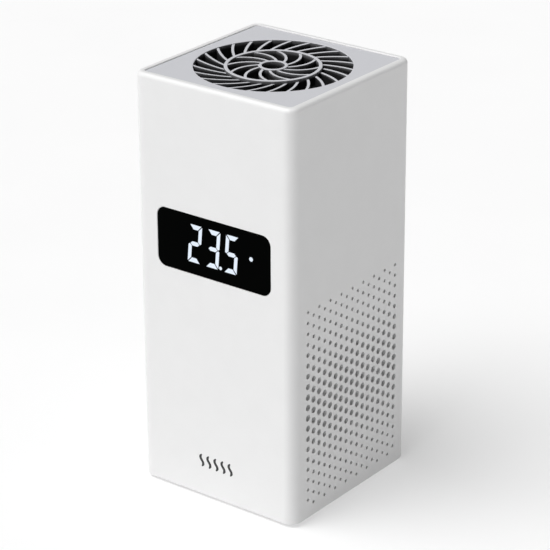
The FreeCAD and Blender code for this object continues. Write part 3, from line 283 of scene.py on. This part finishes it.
def flat_piece(name, outlines, y, thick, look, body="casing"):
    """Thin plates from outlines of (x, z) points in metres, standing on the plane y and facing -Y."""
    mesh = bmesh.new()
    for outline in outlines:
        back = [mesh.verts.new((x, y, z)) for x, z in outline]
        front = [mesh.verts.new((x, y - thick, z)) for x, z in outline]
        mesh.faces.new(front)
        mesh.faces.new(reversed(back))
        for i in range(len(outline)):
            k = (i + 1) % len(outline)
            mesh.faces.new((front[k], front[i], back[i], back[k]))
    bmesh.ops.recalc_face_normals(mesh, faces=mesh.faces)
    data = bpy.data.meshes.new(name)
    mesh.to_mesh(data)
    mesh.free()
    data.materials.append(look)
    piece = bpy.data.objects.new(name, data)
    scene.collection.objects.link(piece)
    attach(piece, body)
    return piece


def round_outline(x, z, radius, points=40):
    angles = [2 * math.pi * i / points for i in range(points)]
    return [(x + radius * math.cos(angle), z + radius * math.sin(angle)) for angle in angles]


# ---------------------------------------------------------------- display

lens_low, lens_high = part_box("display_lens")
lens_face = lens_low.y
lens_x, lens_z = (lens_low.x + lens_high.x) / 2, (lens_low.z + lens_high.z) / 2

DIGIT_HIGH, DIGIT_WIDE, DIGIT_PITCH = 13.6 * MM, 5.3 * MM, 7.7 * MM
DIGIT_RISE, DIGIT_SLANT = 0.6 * MM, math.tan(math.radians(5))
BAR_LEVEL, BAR_UPRIGHT, BAR_GAP = 1.65 * MM, 1.35 * MM, 0.14 * MM
POINT_X, POINT_Z, POINT_RADIUS = 3.05 * MM, -5.4 * MM, 0.62 * MM
STATUS_X, STATUS_Z, STATUS_RADIUS = 15.9 * MM, 1.1 * MM, 0.75 * MM
LIT_THICK = 0.03 * MM
LIT = {"2": "abged", "3": "abgcd", "5": "afgcd"}


def bar_outlines(digit):
    """The lit bars of one digit about its middle: a, d and g lie level, the others stand."""
    x_in, top = DIGIT_WIDE / 2 - BAR_UPRIGHT / 2, DIGIT_HIGH / 2 - BAR_LEVEL / 2
    level, upright = BAR_LEVEL / 2, BAR_UPRIGHT / 2
    bars = []
    for bar in LIT[digit]:
        if bar in "ad":
            side = 1 if bar == "a" else -1
            edge, inner = side * (top + level), side * (top - level)
            reach = x_in + upright
            bars.append([(-reach + BAR_GAP * 2.2, edge), (reach - BAR_GAP * 2.2, edge),
                         (reach - BAR_GAP * 1.6 - 2 * level + BAR_GAP, inner),
                         (-reach + BAR_GAP * 1.6 + 2 * level - BAR_GAP, inner)])
        elif bar == "g":
            half, point = x_in - upright * 0.15, level * 0.95
            bars.append([(-half, 0), (-half + point, level * 0.9), (half - point, level * 0.9), (half, 0),
                         (half - point, -level * 0.9), (-half + point, -level * 0.9)])
        else:
            side = 1 if bar in "bc" else -1
            up = 1 if bar in "bf" else -1
            outer, inner = side * (x_in + upright), side * (x_in - upright)
            low, high = BAR_GAP, top + level - BAR_GAP * 2
            bars.append([(outer, up * high), (outer, up * (low + upright * 0.5)),
                         (side * (x_in + upright * 0.2), up * low), (inner, up * (low + level * 0.9)),
                         (inner, up * (top - level - BAR_GAP * 0.5))])
    return bars


digit_outlines = []
for place, digit in zip((-1, 0, 1), "235"):
    for bar in bar_outlines(digit):
        digit_outlines.append([(lens_x + place * DIGIT_PITCH + x + z * DIGIT_SLANT, lens_z + DIGIT_RISE + z)
                               for x, z in bar])
digit_outlines.append(round_outline(lens_x + POINT_X, lens_z + POINT_Z, POINT_RADIUS))
flat_piece("display_digits", digit_outlines, lens_face, LIT_THICK, digit_glow)
status_outline = round_outline(lens_x + STATUS_X, lens_z + STATUS_Z, STATUS_RADIUS)
flat_piece("status_dot", [status_outline], lens_face, LIT_THICK, digit_glow)


# ---------------------------------------------------------------- printed mark: five rising heat waves

sleeve_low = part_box("body_sleeve")[0]


def wave_outline(middle, low, high, swing, half_thick, points=28):
    """An upright wave as a closed strip of even thickness with tapered ends."""
    sides = ([], [])
    for i in range(points + 1):
        t = i / points
        z = low + (high - low) * t
        x = middle + swing * math.sin(2 * math.pi * t)
        slope = swing * 2 * math.pi / (high - low) * math.cos(2 * math.pi * t)
        across = Vector((1, -slope)).normalized() * half_thick * min(1, 0.35 + 4 * min(t, 1 - t))
        sides[0].append((x - across.x, z - across.y))
        sides[1].append((x + across.x, z + across.y))
    return sides[0] + sides[1][::-1]


MARK_X, MARK_Z, MARK_HIGH = -0.3 * MM, sleeve_low.z + 13.3 * MM, 4.6 * MM
WAVE_PITCH, WAVE_SWING, WAVE_HALF_THICK, INK_THICK = 3.1 * MM, 0.6 * MM, 0.52 * MM, 0.02 * MM
mark_low, mark_high = MARK_Z - MARK_HIGH / 2, MARK_Z + MARK_HIGH / 2
waves = [wave_outline(k * WAVE_PITCH + MARK_X, mark_low, mark_high, WAVE_SWING, WAVE_HALF_THICK)
         for k in (-2, -1, 0, 1, 2)]
flat_piece("heat_mark", waves, sleeve_low.y, INK_THICK, mark_ink)


# ---------------------------------------------------------------- floor, lights and camera

FLOOR_HALF = 8
FLOOR_GLOW = 0.42
KEY_FROM, KEY_DEGREES, KEY_STRENGTH = (-0.24, -0.43, 0.958), 48, 1.08 * math.pi
HORIZON_DEGREES, SKY_DEGREES = 6.5, 9
HORIZON_STRENGTH, SKY_STRENGTH = 1.0, 0.04


def floor_piece():
    """A wide pale floor that glows a little, so that its shadows stay faint."""
    made = Shader("floor_pale", Roughness=0.8, Specular_IOR_Level=0.0, Emission_Strength=FLOOR_GLOW,
                  Emission_Color=(1, 1, 1, 1))
    made.tint(made.noise(60, 2), (0.53, 0.53, 0.53), (0.54, 0.54, 0.54))
    mesh = bmesh.new()
    bmesh.ops.create_grid(mesh, x_segments=1, y_segments=1, size=FLOOR_HALF)
    data = bpy.data.meshes.new("floor")
    mesh.to_mesh(data)
    mesh.free()
    data.materials.append(made.mat)
    floor = bpy.data.objects.new("floor", data)
    scene.collection.objects.link(floor)


def sun_light(name, towards, softness, strength):
    """A broad soft source in the direction `towards`, softness degrees across."""
    light = bpy.data.lights.new(name, "SUN")
    light.angle, light.energy = math.radians(softness), strength
    lamp = bpy.data.objects.new(name, light)
    lamp.rotation_euler = Vector(towards).to_track_quat("Z", "Y").to_euler()
    scene.collection.objects.link(lamp)


floor_piece()
sun_light("key", KEY_FROM, KEY_DEGREES, KEY_STRENGTH)

def studio_world():
    """White near the horizon, so that the floor runs on into it, and dim above."""
    world = bpy.data.worlds.new("studio")
    world.use_nodes = True
    tree = world.node_tree
    background = tree.nodes["Background"]
    background.inputs["Color"].default_value = (1, 1, 1, 1)
    split = tree.nodes.new("ShaderNodeSeparateXYZ")
    tree.links.new(tree.nodes.new("ShaderNodeTexCoord").outputs["Generated"], split.inputs["Vector"])
    fade = tree.nodes.new("ShaderNodeMapRange")
    fade.interpolation_type = "SMOOTHSTEP"
    fade.inputs["From Min"].default_value = math.sin(math.radians(HORIZON_DEGREES))
    fade.inputs["From Max"].default_value = math.sin(math.radians(SKY_DEGREES))
    fade.inputs["To Min"].default_value = HORIZON_STRENGTH
    fade.inputs["To Max"].default_value = SKY_STRENGTH
    tree.links.new(split.outputs["Z"], fade.inputs["Value"])
    tree.links.new(fade.outputs["Result"], background.inputs["Strength"])
    scene.world = world


studio_world()
scene.view_settings.view_transform = "Standard"

SIDE = 66 * MM
AIM_HEIGHT = 75.5 * MM
YAW, PITCH, ROLL = (math.radians(d) for d in (37.657, 23.558, -0.3235))
DISTANCE, ASIDE, BELOW = 12.955 * SIDE, -0.0031 * SIDE, 0.0223 * SIDE
FOCAL_LENGTH, SENSOR_WIDTH = 163.55, 36
back = Vector((math.sin(YAW) * math.cos(PITCH), -math.cos(YAW) * math.cos(PITCH), math.sin(PITCH)))
right = Vector((math.cos(YAW), math.sin(YAW), 0))
up = back.cross(right)
turned_right = right * math.cos(ROLL) + up * math.sin(ROLL)
turned_up = up * math.cos(ROLL) - right * math.sin(ROLL)
optics = bpy.data.cameras.new("camera")
optics.lens, optics.sensor_width = FOCAL_LENGTH, SENSOR_WIDTH
optics.clip_start, optics.clip_end = 0.01, 30
camera = bpy.data.objects.new("camera", optics)
place = Vector((0, 0, AIM_HEIGHT)) + back * DISTANCE - turned_right * ASIDE - turned_up * BELOW
turn = Matrix((turned_right, turned_up, back)).transposed().to_4x4()
camera.matrix_world = Matrix.Translation(place) @ turn
scene.collection.objects.link(camera)
scene.camera = camera
